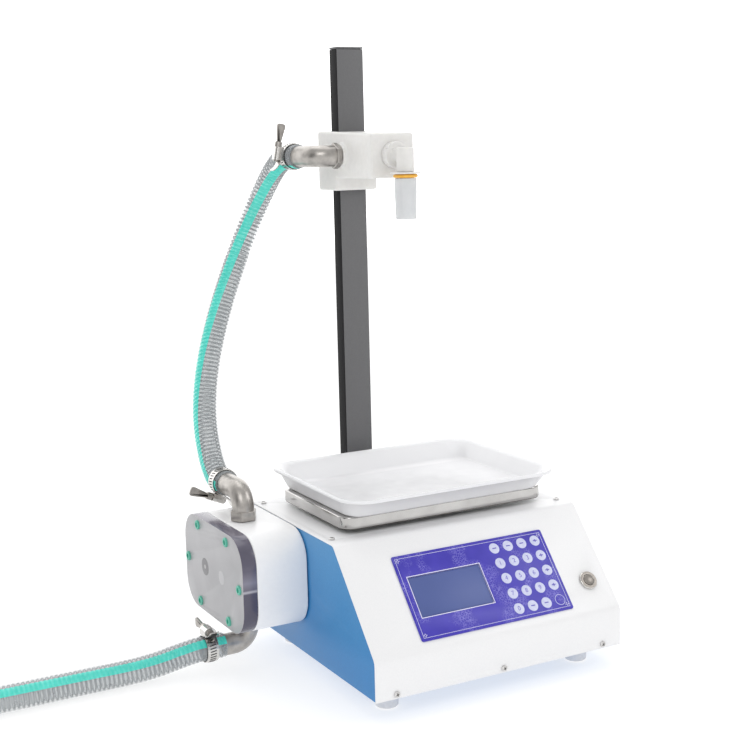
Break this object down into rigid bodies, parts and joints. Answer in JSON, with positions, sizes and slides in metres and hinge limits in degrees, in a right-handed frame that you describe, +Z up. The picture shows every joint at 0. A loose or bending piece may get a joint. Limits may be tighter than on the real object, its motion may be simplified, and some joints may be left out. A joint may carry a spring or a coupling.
{
  "type": "piston liquid filler",
  "caption": "Bench-top liquid filler: side pump on a sheet-metal base, keypad slope, weighing platform with tray, column with sliding nozzle block, and hoses.",
  "frame": {"origin": "centre of the machine's footprint at the surface it stands on, measured without the two free hoses", "axes": "+X to the right along the front, +Y to the back, +Z up along the column"},
  "size_m": [0.8459, 0.4922, 0.6233],
  "materials": {
    "white_sheet": "satin",
    "blue_sheet": "satin",
    "white_rubber": "matte",
    "stainless_steel": "brushed",
    "panel_film": "satin film",
    "display": "glossy",
    "circuit_board": "matte",
    "aluminium": "satin",
    "dark_rubber": "matte",
    "white_plastic": "satin",
    "smoky_cover": "frosted acrylic",
    "teal_screws": "satin",
    "gear_plastic": "matte",
    "dark_paint": "satin",
    "orange_seal": "matte",
    "tip_plastic": "cloudy",
    "tray_plastic": "glossy",
    "clear_hose": "clear with a wire coil"
  },
  "bodies": {
    "base": {"top_cover": "white_sheet", "chassis": "blue_sheet", "rear_panel": "blue_sheet", "foot_front_left": "white_rubber", "foot_front_right": "white_rubber", "foot_rear_left": "white_rubber", "foot_rear_right": "white_rubber", "front_screw_1": "stainless_steel", "front_screw_2": "stainless_steel", "front_screw_3": "stainless_steel", "top_screw_1": "stainless_steel", "top_screw_2": "stainless_steel", "top_screw_3": "stainless_steel", "top_screw_4": "stainless_steel", "button_body": "stainless_steel", "outlet_elbow": "stainless_steel", "inlet_elbow": "stainless_steel", "outlet_clamp": "stainless_steel", "inlet_clamp": "stainless_steel", "column_bracket": "stainless_steel", "keypad_overlay": "panel_film", "display_module": "display", "control_board": "circuit_board", "power_supply": "aluminium", "load_cell": "aluminium", "load_cell_mount": "aluminium", "motor_bracket": "aluminium", "power_inlet": "dark_rubber", "shaft_seal": "dark_rubber", "pump_body": "white_plastic", "pump_cover": "smoky_cover", "pump_screw_1": "teal_screws", "pump_screw_2": "teal_screws", "pump_screw_3": "teal_screws", "pump_screw_4": "teal_screws", "pump_screw_5": "teal_screws", "pump_screw_6": "teal_screws", "gear_motor": "dark_paint", "column": "dark_paint", "column_cap": "dark_paint", "delivery_hose": "clear_hose", "suction_hose": "clear_hose"},
    "carriage": {"carriage_block": "white_plastic", "carriage_elbow": "stainless_steel", "carriage_clamp": "stainless_steel", "nozzle_elbow": "white_plastic", "nozzle_flange": "white_plastic", "nozzle_seal": "orange_seal", "nozzle_tip": "tip_plastic"},
    "lock_knob": {"lock_knob": "dark_rubber"},
    "pump_drive": {"drive_gear": "gear_plastic", "shaft_coupling": "aluminium"},
    "pump_idler": {"idler_gear": "gear_plastic"},
    "start_button": {"button_cap": "stainless_steel"},
    "weigh_platform": {"weigh_platform": "stainless_steel"},
    "tray": {"tray": "tray_plastic"},
    "power_switch": {"rocker": "dark_rubber"},
    "outlet_clamp_screw": {"outlet_clamp_screw": "stainless_steel"},
    "inlet_clamp_screw": {"inlet_clamp_screw": "stainless_steel"},
    "carriage_clamp_screw": {"carriage_clamp_screw": "stainless_steel"}
  },
  "joints": [
    {"name": "carriage_slide", "type": "slide", "parent": "base", "child": "carriage", "axis": [0, 0, 1], "range_m": [-0.16, 0.05], "deforming": ["delivery_hose"]},
    {"name": "lock_knob_turn", "type": "hinge", "parent": "carriage", "child": "lock_knob", "pos_m": [0.06135, 0.1344, 0.50625], "axis": [1, 0, 0], "continuous": true},
    {"name": "drive_spin", "type": "hinge", "parent": "base", "child": "pump_drive", "pos_m": [-0.15725, 0.07415, 0.0995], "axis": [1, 0, 0], "continuous": true},
    {"name": "idler_spin", "type": "hinge", "parent": "base", "child": "pump_idler", "pos_m": [-0.15725, 0.03115, 0.0995], "axis": [1, 0, 0], "continuous": true},
    {"name": "start_press", "type": "slide", "parent": "base", "child": "start_button", "axis": [0, -0.7575, 0.6529], "range_m": [-0.0025, 0], "stiffness_N_per_m": 800, "springref_m": 0.001},
    {"name": "platform_press", "type": "slide", "parent": "base", "child": "weigh_platform", "axis": [0, 0, 1], "range_m": [-0.001, 0], "stiffness_N_per_m": 60000},
    {"name": "tray_lift", "type": "slide", "parent": "weigh_platform", "child": "tray", "axis": [0, 0, 1], "range_m": [0, 0.15]},
    {"name": "power_toggle", "type": "hinge", "parent": "base", "child": "power_switch", "pos_m": [0.10835, 0.10865, 0.06], "axis": [1, 0, 0], "range_deg": [-14, 0]},
    {"name": "outlet_clamp_turn", "type": "hinge", "parent": "base", "child": "outlet_clamp_screw", "pos_m": [-0.14487, 0.10365, 0.16072], "axis": [-0.9207, 0, 0.3903], "continuous": true},
    {"name": "inlet_clamp_turn", "type": "hinge", "parent": "base", "child": "inlet_clamp_screw", "pos_m": [-0.18165, 0.05265, 0.03975], "axis": [0, 1, 0], "continuous": true},
    {"name": "carriage_clamp_turn", "type": "hinge", "parent": "carriage", "child": "carriage_clamp_screw", "pos_m": [-0.03728, 0.15915, 0.5132], "axis": [0.2, 0, 0.9798], "continuous": true}
  ],
  "couplings": [
    {"joint": "idler_spin", "follows": "drive_spin", "ratio": -1}
  ]
}
